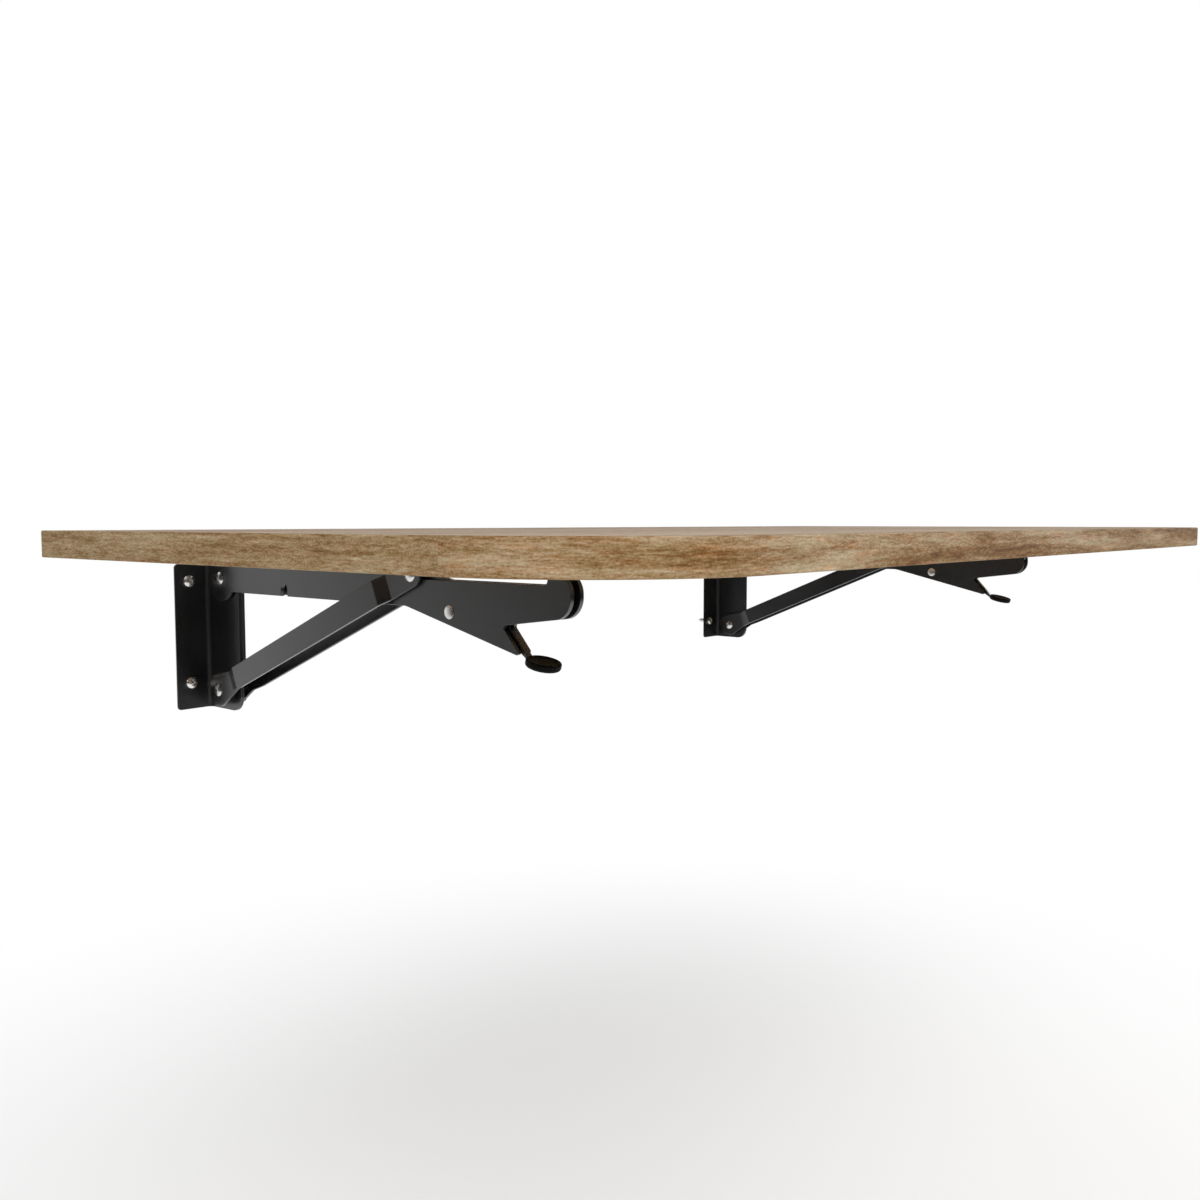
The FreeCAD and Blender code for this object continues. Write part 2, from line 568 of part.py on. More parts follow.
def pad_tongue(along, up):
    """A (p, q) point given forward of the pad's middle and up from its half thickness."""
    c = math.cos(TAIL_SLOPE)
    k = math.sin(TAIL_SLOPE)
    up = up - PAD_THICK / 2
    return (LEVER_PIN_U - PAD_U - along * c - up * k, PAD_W - LEVER_PIN_W - along * k + up * c)


def mouth_point(u, w):
    """A (p, q) point that stands proud of the mouth of the arm's tail."""
    edge = Vector(TAIL_TIP_U - CROTCH_U, TAIL_TIP_W - CROTCH_W, 0).normalize()
    return LEVER_PIN_U - u + edge.y * LEVER_PROUD, w - LEVER_PIN_W + edge.x * LEVER_PROUD


def lever_tail(half):
    """Tail of the lever, from its hub to the tongue that the pad is moulded on."""
    rest = lambda u: (LEVER_PIN_U - u, tail_edge(u) - LEVER_PIN_W + STOP_TAB_THICK + LEVER_REST_GAP)
    heel = rest(STOP_TAB_U + STOP_TAB_LENGTH)
    root = -PAD_R - TONGUE_ROOT_GAP
    end = TONGUE_REACH - PAD_R
    th = TONGUE_THICK / 2
    outline = [rest(LEVER_PIN_U), (*heel, HEEL_R), (*pad_tongue(root, -th), HEEL_R),
               pad_tongue(end, -th), pad_tongue(end, th), (*pad_tongue(root, th), TONGUE_ROOT_R),
               mouth_point(TAIL_TIP_U, TAIL_TIP_W), mouth_point(CROTCH_U, CROTCH_W), (0, LEVER_HUB_R)]
    return lever_slab(outline, -half, half)


def release_lever(d):
    """Lever cut from one plate: pawl, hub and tail, with a recess for its spring."""
    half = LEVER_THICK / 2
    centre = lever_plane(0, 0)
    body = x_bar(LEVER_HUB_R, -half, half, centre.y, centre.z).fuse([pawl(half), lever_tail(half)])
    body = body.cut(x_bar(LEVER_RIVET_R + PIN_CLEARANCE, -half, half, centre.y, centre.z))
    x0, x1 = half_range(d, half - SPRING_RECESS_DEPTH, half)
    body = body.cut(x_bar(SPRING_RECESS_R, x0, x1, centre.y, centre.z))
    return checked(body)


def lever_spring(d):
    """Single turn torsion spring of square wire, in the recess of the lever, round its pin."""
    seat = LEVER_THICK / 2 - SPRING_RECESS_DEPTH + SPRING_CLEARANCE
    x0, x1 = half_range(d, seat, seat + SPRING_WIRE)
    centre = lever_plane(0, 0)
    ring = x_bar(SPRING_COIL_R + SPRING_WIRE / 2, x0, x1, centre.y, centre.z)
    return ring.cut(x_bar(SPRING_COIL_R - SPRING_WIRE / 2, x0, x1, centre.y, centre.z))


def thumb_pad():
    """Round dished pad, tilted with the tail, moulded round the tongue of the lever."""
    r = PAD_R
    h = PAD_THICK
    lip = r - PAD_RIM
    outline = [(-h, 0.0), (-h, r - PAD_BEVEL), (PAD_BEVEL - h, r), (-PAD_BEVEL, r), (0.0, r - PAD_BEVEL),
               (0.0, lip), (-PAD_DISH, lip - PAD_DISH_SLOPE), (-PAD_DISH, 0.0)]
    pad = turned(outline, 0, 0)
    pad.rotate(Vector(0, 0, 0), Vector(0, 1, 0), -90)
    reach = TONGUE_REACH - r
    slot = Part.makeBox(LEVER_THICK, r + OVERCUT + reach, TONGUE_THICK,
                        Vector(-LEVER_THICK / 2, -reach, -h / 2 - TONGUE_THICK / 2))
    pad = pad.cut(slot)
    pad.rotate(Vector(0, 0, 0), Vector(1, 0, 0), math.degrees(TAIL_SLOPE))
    pad.translate(arm_plane(PAD_U, PAD_W))
    return checked(pad)


# ---- write everything

def bracket(name, sign):
    """All pieces of one bracket; sign is the side of the table it stands on."""
    hinge = arm_plane(0, 0)
    pin = lever_plane(0, 0)
    outer = sign
    inner = -sign
    pieces = {
        "wall_angle_outer": [wall_angle(outer)],
        "wall_angle_inner": [wall_angle(inner)],
        "wall_screws": wall_screws(),
        "arm_hinge_rivet": [through_rivet(hinge.y, hinge.z, ARM_RIVET_R, CHEEK_OUT + SIDE_CLEARANCE,
                                          ARM_RIVET_HEAD_R, ARM_RIVET_HEAD_H)],
        "arm_hinge_washers": arm_washers(),
        "strut_foot_rivet": [through_rivet(FOOT_Y, FOOT_Z, STRUT_RIVET_R, EAR_OUT + SIDE_CLEARANCE,
                                           STRUT_RIVET_HEAD_R, STRUT_RIVET_HEAD_H,
                                           STRUT_SHOULDER_R, EAR_IN - SIDE_CLEARANCE)],
        "arm_outer": [arm_half(outer, True)],
        "arm_inner": [arm_half(inner, False)],
        "arm_screws": arm_screws(),
        "lever_rivet": [through_rivet(pin.y, pin.z, LEVER_RIVET_R, CHEEK_OUT, LEVER_RIVET_HEAD_R,
                                      LEVER_RIVET_HEAD_H)],
        "lever_spring": [lever_spring(inner)],
        "strut_outer": [strut_bar(outer)],
        "strut_inner": [strut_bar(inner)],
        "strut_head_rivets": strut_head_rivets(),
        "slot_rollers": slot_rollers(),
        "release_lever": [release_lever(inner)],
        "thumb_pad": [thumb_pad()],
    }
    for piece, solids in pieces.items():
        group = Part.makeCompound(solids) if len(solids) > 1 else solids[0]
        group.translate(Vector(sign * BRACKET_X, 0, 0))
        write(f"{piece}_{name}", group)


def write(node, shape):
    if not shape.isValid():
        print("not valid:", node)
    shape.exportStep(f"parts/{node}.step")
    print(node, len(shape.Solids), "solids", round(shape.Volume, 1), "mm3")


for board_node, board_solid in board_pieces().items():
    write(board_node, board_solid)
bracket("left", -1)
bracket("right", 1)
print("strut length", round(STRUT_LENGTH, 3), "angle", round(math.degrees(STRUT_ANGLE), 3))
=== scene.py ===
"""Looks of a wall mounted drop leaf table, built round its solids. Lengths are in metres."""
import json
import math

import bmesh
import bpy
import numpy as np
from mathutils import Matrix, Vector


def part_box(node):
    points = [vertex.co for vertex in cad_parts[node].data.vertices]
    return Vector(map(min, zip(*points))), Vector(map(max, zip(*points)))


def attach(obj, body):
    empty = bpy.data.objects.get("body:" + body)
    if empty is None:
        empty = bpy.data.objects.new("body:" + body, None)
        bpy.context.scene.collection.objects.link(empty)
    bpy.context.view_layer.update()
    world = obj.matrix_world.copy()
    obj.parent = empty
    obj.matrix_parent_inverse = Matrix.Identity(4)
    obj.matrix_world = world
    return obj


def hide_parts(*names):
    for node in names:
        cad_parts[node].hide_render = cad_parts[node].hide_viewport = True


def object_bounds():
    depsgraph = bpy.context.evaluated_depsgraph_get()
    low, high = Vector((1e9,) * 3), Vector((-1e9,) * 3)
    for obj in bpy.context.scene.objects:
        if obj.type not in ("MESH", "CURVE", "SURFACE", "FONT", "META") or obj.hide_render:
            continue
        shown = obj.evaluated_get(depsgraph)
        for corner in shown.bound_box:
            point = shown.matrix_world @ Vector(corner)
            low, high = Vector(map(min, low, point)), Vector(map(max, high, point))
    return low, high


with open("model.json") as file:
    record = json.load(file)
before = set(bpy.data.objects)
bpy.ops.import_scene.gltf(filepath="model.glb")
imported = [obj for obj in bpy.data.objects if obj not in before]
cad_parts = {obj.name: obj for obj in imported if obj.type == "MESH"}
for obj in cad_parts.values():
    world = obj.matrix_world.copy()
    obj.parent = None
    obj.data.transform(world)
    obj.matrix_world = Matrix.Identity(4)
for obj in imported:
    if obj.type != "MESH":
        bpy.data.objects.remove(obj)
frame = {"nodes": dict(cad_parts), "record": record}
CAD_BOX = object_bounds()
NODES = frame["nodes"]
RECORD = frame["record"]
BODY_OF = {node: body for body, nodes in RECORD["behaviour"]["bodies"].items() for node in nodes}
SLOT_OF = {part["node"]: part["material_slot"] for part in RECORD["subparts"]}
SIDES = ("left", "right")
MM = 0.001

# ---- sizes that the solids don't say by themselves
WELD = 0.002 * MM                  # corners nearer than this become one
FLAT_WITHIN = math.radians(0.5)    # triangles that turn less than this become one flat face
PLATE_SMOOTH = 30                  # degrees below which shading runs on over an edge
TURNED_SMOOTH = 40
MOULDED_SMOOTH = 50

# pressed and cut steel
PLATE_EDGE_R = 0.35 * MM
STRUT_EDGE_R = 0.45 * MM
LEVER_EDGE_R = 0.4 * MM
EASED_ABOVE = math.radians(35)     # edges that turn more than this are eased
EASED_STEPS = 2

# edge band
BAND_THICK = 2.0 * MM
BAND_EDGE_R = 0.9 * MM
FRONT_CORNER_R = 100.0 * MM
BAND_JOINT_JUMP = 3.0              # step in the print's run where an end strip meets the front strip
EDGE_STEPS, CORNER_STEPS = 6, 25   # points round one of its edges, and round a front corner
END_STEPS, FRONT_STEPS, BACK_STEPS = 12, 24, 30    # points along an end, the front and the back

# screws: lengths, and shares of the head's radius, or of its height where the name says so
WALL_SCREW_SHANK_R = 2.4 * MM
WALL_SCREW_NECK_R = 2.6 * MM
WALL_SCREW_NECK = 1.5 * MM
WALL_SCREW_HEAD_H = 3.0 * MM
BOARD_SCREW_SHANK_R = 1.9 * MM
BOARD_SCREW_NECK = 2.8 * MM
BOARD_SCREW_HEAD_H = 2.3 * MM
HEAD_FOOT = 0.94
HEAD_FOOT_HEIGHT = 0.08
HEAD_RIM_HEIGHT = 0.5
CROWN_FOOT = 0.97
CROWN_FOOT_HEIGHT = 0.55           # with the crown's own height this makes the whole head
CROWN_HEIGHT = 0.45
CROWN_STEPS = 34
POINT_SHARE = 1.6                  # length of the point over the shank's radius
THREAD_PITCH = 1.8 * MM
THREAD_DEPTH = 0.35 * MM
THREAD_STEPS = 6                   # to one pitch
SCREW_SIDES = 64

# cross recess of the screws
RECESS_REACH_SHARE = 0.56          # arm of the cross over the head's radius
RECESS_WIDTH_SHARE = 0.15          # half width of an arm over the head's radius
RECESS_DEPTH_SHARE = 0.5           # over the head's height
RECESS_SOFT = 0.25                 # the fade at an arm's side, over its half width
RECESS_MIDDLE, RECESS_TAPER = 1.15, 0.45    # half widths at the middle, and lost on the way to the end
RECESS_FULL = 0.86                 # share of the reach where the end's fade begins
RECESS_FROM, RECESS_TO = 0.4, 0.55          # head's heights between which the recess sets in

# rivets: height of the domed head, and radius of the shank over that of the head
RIVETS = {"arm_hinge_rivet": (2.0 * MM, 0.82), "strut_foot_rivet": (1.8 * MM, 0.54),
          "lever_rivet": (0.65 * MM, 0.69)}
EAR_RIVET = (1.8 * MM, 0.55)
DOME_RIM = 0.25                    # height of the straight rim over the head's height
DOME_FOOT, DOME_FOOT_HEIGHT = 0.96, 0.12    # of the head's radius, and of the rim's height
DOME_STEPS = 14
RIVET_SIDES = 56

# thumb pad
PAD_RIM = 1.9 * MM
PAD_DISH = 1.1 * MM
PAD_FOOT = 0.42                    # radius of the round foot over the pad's thickness
PAD_BOWL_RISE = 0.25               # rise of the dish from its middle to its edge, over its depth
PAD_BOWL_INSET = 0.5               # step from the rim in to the dish's edge, over its depth
PAD_FOOT_STEPS, PAD_RIM_STEPS, PAD_DISH_STEPS = 9, 12, 14
PAD_SIDES = 96


# ---- nodes and colours

def srgb(code):
    """sRGB hex to linear RGBA."""
    parts = [int(code[i:i + 2], 16) / 255 for i in (1, 3, 5)]
    return (*[c / 12.92 if c <= 0.04045 else ((c + 0.055) / 1.055) ** 2.4 for c in parts], 1.0)


def add_node(tree, kind, sockets=None, stops=None, **settings):
    """Adds a node. sockets gives inputs a value or a link, and stops are a ramp's places and colours.

    A socket is named or counted. MapRange counts the value, the range it comes from (1, 2) and the range
    it goes to (3, 4).
    """
    node = tree.nodes.new("ShaderNode" + kind)
    for name, value in settings.items():
        setattr(node, name, value)
    for name, value in (sockets or {}).items():
        if isinstance(value, bpy.types.NodeSocket):
            tree.links.new(value, node.inputs[name])
        else:
            node.inputs[name].default_value = value
    if stops:
        elements = node.color_ramp.elements
        while len(elements) < len(stops):
            elements.new(0.5)
        for element, (place, colour) in zip(elements, stops):
            element.position = place
            element.color = srgb(colour) if isinstance(colour, str) else (colour, colour, colour, 1.0)
    return node


def material(name):
    """An empty node material and its tree."""
    made = bpy.data.materials.new(name)
    made.use_nodes = True
    made.node_tree.nodes.clear()
    return made, made.node_tree


def grain(tree, along, across, seed, length, width, detail=2.0, rough=0.55):
    """Noise whose marks are length long with the grain and width wide across it, both in mm."""
    spot = add_node(tree, "CombineXYZ", {
        0: add_node(tree, "Math", {0: along, 1: 1 / (length * MM)}, operation="MULTIPLY").outputs[0],
        1: add_node(tree, "Math", {0: across, 1: 1 / (width * MM)}, operation="MULTIPLY").outputs[0],
        2: seed})
    return add_node(tree, "TexNoise", {"Vector": spot.outputs[0], "Scale": 1.0, "Detail": detail,
                                       "Roughness": rough}).outputs["Fac"]


def pile_up(tree, layers, base=0.5):
    """base plus the sum of weight * (value - 0.5) over the (value, weight) layers."""
    total = base
    for value, weight in layers:
        centred = add_node(tree, "Math", {0: value, 1: 0.5}, operation="SUBTRACT").outputs[0]
        total = add_node(tree, "Math", {0: centred, 1: weight, 2: total}, operation="MULTIPLY_ADD").outputs[0]
    return total


WOOD_STOPS = [(0.0, "#58360f"), (0.25, "#775129"), (0.42, "#907049"), (0.55, "#a18464"), (0.7, "#b0987a"),
              (1.0, "#c9b79a")]
# Tints from grey to orange.
WARMTH_STOPS = [(0.3, "#eef5ea"), (0.5, "#f9fbf8"), (0.62, "#fff2e0"), (0.8, "#ffddb6")]


def wood_shader(tree, shade, tone, warmth, dull):
    """Satin print: shade picks the colour, tone dims it, and warmth goes from grey to orange.

    dull is the roughness of the dark marks, and the pale ones are a little smoother. The eye gets a dull,
    even sheen with a trace of pressed pores, and no depth as under varnish.
    """
    ramp = add_node(tree, "ValToRGB", {"Fac": shade}, stops=WOOD_STOPS)
    tint = add_node(tree, "ValToRGB", {"Fac": warmth}, stops=WARMTH_STOPS)
    tinted = add_node(tree, "Mix", {0: 1.0, 6: ramp.outputs[0], 7: tint.outputs[0]},
                      data_type="RGBA", blend_type="MULTIPLY")
    toned = add_node(tree, "HueSaturation", {"Color": tinted.outputs[2], "Value": tone})
    rough = add_node(tree, "MapRange", {0: shade, 1: 0.2, 2: 0.8, 3: dull, 4: dull - 0.1})
    bump = add_node(tree, "Bump", {"Height": shade, "Strength": 0.15, "Distance": 0.2 * MM})
    return add_node(tree, "BsdfPrincipled", {"Base Color": toned.outputs[0], "Roughness": rough.outputs[0],
                                             "Normal": bump.outputs[0], "Specular IOR Level": 0.3})


# Growth bands of the print from the wall edge to the front, as (share of the depth, shade).
GROWTH_BANDS = [(0.0, 0.42), (0.03, 0.55), (0.11, 0.58), (0.152, 0.24), (0.187, 0.62), (0.21, 0.54),
                (0.243, 0.24), (0.27, 0.46), (0.35, 0.44), (0.378, 0.28), (0.395, 0.46), (0.425, 0.46),
                (0.435, 0.7), (0.45, 0.68), (0.461, 0.42), (0.475, 0.32), (0.488, 0.46), (0.5, 0.68),
                (0.512, 0.66), (0.525, 0.46), (0.55, 0.34), (0.565, 0.48), (0.69, 0.44), (0.7, 0.34),
                (0.715, 0.46), (0.765, 0.48), (0.78, 0.66), (0.795, 0.48), (0.935, 0.62), (0.95, 0.48)]
# How far a growth band climbs towards the wall on its way to the right end, as (share of the depth, climb).
CLIMB = [(0.0, 1.0), (0.19, 0.55), (0.3, 0.47), (0.42, 0.35), (0.6, 0.14), (0.8, 0.0)]
FULL_CLIMB = 130 * MM
# How far a growth band swings to and fro on its way, near the wall and in front.
SWING_BACK, SWING_FRONT = 45 * MM, 12 * MM


def melamine_board():
    """Melamine faced board printed as walnut cut near the heart: bands sweep up towards the wall.

    The eye gets broad brown bands under fine streaks and flecks, all flat in the surface. Near the wall
    they are darker, more blotched, and more uneven between grey and orange. Real pores are a few tenths
    of a millimetre wide, too fine to show, so the two finest layers draw them 1.2 and 1.5 mm wide.
    """
    made, tree = material("melamine_faced_board")
    spot = add_node(tree, "TexCoord").outputs["Object"]
    axes = add_node(tree, "SeparateXYZ", {0: spot})
    low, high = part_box("tabletop_board")
    size = high - low
    depth = add_node(tree, "Math", {0: high.y, 1: axes.outputs[1]}, operation="SUBTRACT").outputs[0]
    along = add_node(tree, "Math", {0: axes.outputs[0], 1: low.x}, operation="SUBTRACT").outputs[0]
    share = add_node(tree, "Math", {0: depth, 1: size.y}, operation="DIVIDE").outputs[0]
    run = add_node(tree, "Math", {0: along, 1: size.x}, operation="DIVIDE").outputs[0]

    # ring: the depth at which a band starts from the left end = depth + climb * run squared + swing
    sweep = add_node(tree, "Math", {0: run, 1: 2.0}, operation="POWER").outputs[0]
    climb = add_node(tree, "ValToRGB", {"Fac": share}, stops=CLIMB)
    lift = add_node(tree, "Math", {0: climb.outputs[0], 1: FULL_CLIMB}, operation="MULTIPLY").outputs[0]
    bent = add_node(tree, "Math", {0: lift, 1: sweep, 2: depth}, operation="MULTIPLY_ADD").outputs[0]
    drift = grain(tree, along, depth, 1.0, 330, 90)
    swing = add_node(tree, "MapRange", {0: share, 1: 0.0, 2: 0.7, 3: SWING_BACK, 4: SWING_FRONT}).outputs[0]
    ring = pile_up(tree, [(drift, swing)], bent)
    band = add_node(tree, "Math", {0: ring, 1: size.y}, operation="DIVIDE").outputs[0]
    wide = add_node(tree, "ValToRGB", {"Fac": band}, stops=GROWTH_BANDS)

    # the bands fade in and out along their length, and blotches are stronger near the wall
    vivid = add_node(tree, "MapRange", {0: grain(tree, along, ring, 2.0, 380, 30), 1: 0.36, 2: 0.6, 3: 0.35,
                                        4: 1.05}).outputs[0]
    back = add_node(tree, "MapRange", {0: share, 1: 0.1, 2: 0.5, 3: 1.0, 4: 0.0}).outputs[0]
    blotch = add_node(tree, "Math", {0: back, 1: 0.65}, operation="MULTIPLY").outputs[0]
    shade = pile_up(tree, [(wide.outputs[0], vivid), (grain(tree, along, depth, 5.0, 110, 45, 3.0), blotch),
                           (grain(tree, along, ring, 3.0, 600, 12, 3.0), 0.42),
                           (grain(tree, along, ring, 4.0, 200, 4.5, 3.0), 0.4),
                           (grain(tree, along, ring, 6.0, 38, 2.2), 0.65),
                           (grain(tree, along, depth, 7.0, 11, 1.5), 0.95),
                           (grain(tree, along, depth, 8.0, 2.5, 1.2), 0.45)])
    tone = add_node(tree, "MapRange", {0: share, 1: 0.15, 2: 0.5, 3: 0.97, 4: 1.08}).outputs[0]
    patches = grain(tree, along, depth, 9.0, 150, 75)
    warmth = pile_up(tree, [(patches, add_node(tree, "MapRange", {0: back, 3: 0.3, 4: 0.85}).outputs[0]),
                            (grain(tree, along, ring, 10.0, 26, 3.5), 0.6)])
    finish = wood_shader(tree, shade, tone, warmth, dull=0.5)
    add_node(tree, "OutputMaterial", {"Surface": finish.outputs[0]})
    return made


def edge_banding():
    """Printed ABS edge band: streaks along its length, and a change of print at each joint.

    The eye gets the board's browns with a duller sheen. The front strip, and the right end strip that
    follows it, have bolder bands than the left end and the back. The finest streaks are drawn 0.9 and
    1.1 mm wide, because real ones are too fine to show.
    """
    made, tree = material("abs_edge_band")
    spot = add_node(tree, "UVMap", uv_map="band").outputs[0]
    axes = add_node(tree, "SeparateXYZ", {0: spot})
    along, across = axes.outputs[0], axes.outputs[1]
    front = add_node(tree, "Math", {0: along, 1: BAND_JOINT_JUMP / 2}, operation="GREATER_THAN").outputs[0]
    streaks = grain(tree, along, across, 21.0, 42, 4.6, 3.0)
    broad = add_node(tree, "MapRange", {0: front, 3: 0.4, 4: 1.3}).outputs[0]
    shade = pile_up(tree, [(grain(tree, along, across, 26.0, 170, 13), broad), (streaks, 0.5),
                           (grain(tree, along, across, 22.0, 16, 2.0), 0.6),
                           (grain(tree, along, across, 23.0, 5, 1.1), 0.65),
                           (grain(tree, along, across, 24.0, 1.4, 0.9), 0.6)], 0.47)
    tone = add_node(tree, "MapRange", {0: front, 3: 1.0, 4: 0.98}).outputs[0]
    lean = add_node(tree, "MapRange", {0: front, 3: 0.38, 4: 0.46}).outputs[0]
    warmth = pile_up(tree, [(grain(tree, along, across, 25.0, 30, 4), 0.9)], lean)
    finish = wood_shader(tree, shade, tone, warmth, dull=0.65)
    add_node(tree, "OutputMaterial", {"Surface": finish.outputs[0]})
    return made


def powder_coat():
    """Black polyester powder coat on steel: the eye gets a deep satin black with faint orange peel."""
    made, tree = material("black_powder_coat")
    spot = add_node(tree, "TexCoord").outputs["Object"]
    peel = add_node(tree, "TexNoise", {"Vector": spot, "Scale": 1 / (1.6 * MM), "Detail": 2.0})
    cloud = add_node(tree, "TexNoise", {"Vector": spot, "Scale": 1 / (45 * MM), "Detail": 3.0})
    rough = add_node(tree, "MapRange", {0: cloud.outputs["Fac"], 1: 0.3, 2: 0.7, 3: 0.3, 4: 0.38})
    bump = add_node(tree, "Bump", {"Height": peel.outputs["Fac"], "Strength": 0.2, "Distance": 0.04 * MM})
    colour = add_node(tree, "ValToRGB", {"Fac": cloud.outputs["Fac"]},
                      stops=[(0.3, "#0c0c0d"), (0.7, "#111112")])
    coated = add_node(tree, "BsdfPrincipled", {"Base Color": colour.outputs[0], "Roughness": rough.outputs[0],
                                               "Normal": bump.outputs[0], "IOR": 1.6, "Coat Weight": 0.8,
                                               "Coat Roughness": 0.22})
    add_node(tree, "OutputMaterial", {"Surface": coated.outputs[0]})
    return made


def bright_zinc():
    """Bright zinc plate: the eye gets clean silver with a slight milky unevenness.

    The plate's own grain is too fine to show, so it is drawn 1.1 mm wide.
    """
    made, tree = material("bright_zinc_plate")
    spot = add_node(tree, "TexCoord").outputs["Object"]
    cloud = add_node(tree, "TexNoise", {"Vector": spot, "Scale": 1 / (1.1 * MM), "Detail": 2.0})
    colour = add_node(tree, "ValToRGB", {"Fac": cloud.outputs["Fac"]},
                      stops=[(0.3, "#e2dfdb"), (0.7, "#f2f0ed")])
    rough = add_node(tree, "MapRange", {0: cloud.outputs["Fac"], 1: 0.3, 2: 0.7, 3: 0.2, 4: 0.32})
    plated = add_node(tree, "BsdfPrincipled", {"Base Color": colour.outputs[0], "Metallic": 1.0,
                                               "Roughness": rough.outputs[0]})
    add_node(tree, "OutputMaterial", {"Surface": plated.outputs[0]})
    return made


def spring_steel():
    """Drawn spring wire, a little oily: the eye gets a plain mid grey metal.

    Drawing marks are too fine to show, so the greys change about every 0.7 mm.
    """
    made, tree = material("drawn_spring_steel")
    spot = add_node(tree, "TexCoord").outputs["Object"]
    cloud = add_node(tree, "TexNoise", {"Vector": spot, "Scale": 1 / (0.7 * MM), "Detail": 2.0})
    colour = add_node(tree, "ValToRGB", {"Fac": cloud.outputs["Fac"]},
                      stops=[(0.3, "#85858a"), (0.7, "#a5a5a8")])
    wire = add_node(tree, "BsdfPrincipled", {"Base Color": colour.outputs[0], "Metallic": 1.0,
                                             "Roughness": 0.35})
    add_node(tree, "OutputMaterial", {"Surface": wire.outputs[0]})
    return made


def moulded_nylon():
    """Moulded black nylon: the eye gets a soft black whose spark texture breaks up the shine.

    Real spark grit is about 0.1 mm, too fine to show, so it is drawn 0.6 mm wide.
    """
    made, tree = material("moulded_black_nylon")
    spot = add_node(tree, "TexCoord").outputs["Object"]
    spark = add_node(tree, "TexNoise", {"Vector": spot, "Scale": 1 / (0.6 * MM), "Detail": 2.0})
    colour = add_node(tree, "ValToRGB", {"Fac": spark.outputs["Fac"]},
                      stops=[(0.3, "#090909"), (0.7, "#0f0f10")])
    bump = add_node(tree, "Bump", {"Height": spark.outputs["Fac"], "Strength": 0.3, "Distance": 0.03 * MM})
    nylon = add_node(tree, "BsdfPrincipled", {"Base Color": colour.outputs[0], "Roughness": 0.55,
                                              "Normal": bump.outputs[0], "IOR": 1.45,
                                              "Specular IOR Level": 0.1})
    add_node(tree, "OutputMaterial", {"Surface": nylon.outputs[0]})
    return made


FINISH = {"board_laminate": melamine_board(), "edge_band": edge_banding(), "black_steel": powder_coat(),
          "zinc": bright_zinc(), "spring_steel": spring_steel(), "pad_black": moulded_nylon()}


# ---- pieces

def coat(mesh, slot):
    """Gives a mesh the finish of its slot and no other."""
    mesh.materials.clear()
    mesh.materials.append(FINISH[slot])


def finish_mesh(mesh, slot, smooth_angle):
    """One finish, and smooth shading that breaks at edges sharper than smooth_angle degrees."""
    coat(mesh, slot)
    mesh.shade_smooth()
    mesh.set_sharp_from_angle(angle=math.radians(smooth_angle))


def stand_for(mesh, name, node):
    """Puts a mesh into the scene in the place of a solid."""
    piece = bpy.data.objects.new(name, mesh)
    bpy.context.scene.collection.objects.link(piece)
    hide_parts(node)
    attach(piece, BODY_OF[node])
    return piece


def welded(node):
    """The solid's own triangles, merged into one mesh with whole flat faces."""
    mesh = NODES[node].data.copy()
    shape = bmesh.new()
    shape.from_mesh(mesh)
    bmesh.ops.remove_doubles(shape, verts=shape.verts, dist=WELD)
    bmesh.ops.dissolve_limit(shape, angle_limit=FLAT_WITHIN, verts=shape.verts, edges=shape.edges)
    shape.to_mesh(mesh)
    shape.free()
    return mesh


def eased(node, name, edge_r):
    """A pressed or cut piece: the solid with its sharp edges eased to edge_r."""
    mesh = welded(node)
    finish_mesh(mesh, SLOT_OF[node], PLATE_SMOOTH)
    bevel = stand_for(mesh, name, node).modifiers.new("eased_edges", "BEVEL")
    bevel.width = edge_r
    bevel.segments = EASED_STEPS
    bevel.limit_method = "ANGLE"
    bevel.angle_limit = EASED_ABOVE
    bevel.harden_normals = True
    bevel.use_clamp_overlap = False


def corners_of(mesh):
    """The corners of a mesh as an (n, 3) array."""
    corners = np.empty(len(mesh.vertices) * 3, np.float32)
    mesh.vertices.foreach_get("co", corners)
    return corners.reshape(-1, 3)


def islands(node):
    """Boxes (lowest corner, highest corner) of the separate solids in a node.

    Each corner takes the lowest label of the corners it shares an edge with, until nothing changes.
    """
    mesh = welded(node)
    corners = corners_of(mesh)
    pairs = np.empty(len(mesh.edges) * 2, np.int32)
    mesh.edges.foreach_get("vertices", pairs)
    a, b = pairs.reshape(-1, 2).T
    label = np.arange(len(corners))
    while True:
        lower = np.minimum(label[a], label[b])
        spread = label.copy()
        np.minimum.at(spread, a, lower)
        np.minimum.at(spread, b, lower)
        if np.array_equal(spread, label):
            break
        label = spread
    return [(corners[label == k].min(0), corners[label == k].max(0)) for k in np.unique(label)]


def thin_axis(node):
    """Foot, axis, thickness and radius of a disc shaped solid.

    The axis is the direction in which its corners spread least, turned upwards.
    """
    corners = corners_of(welded(node)).astype(float)
    offset = corners - corners.mean(0)
    axis = np.linalg.eigh(offset.T @ offset)[1][:, 0]
    axis = axis * np.sign(axis[2])
    height = corners @ axis
    flat = corners - np.outer(height, axis)
    centre = (flat.max(0) + flat.min(0)) / 2
    return centre + axis * height.min(), axis, np.ptp(height), np.ptp(flat[:, 0]) / 2


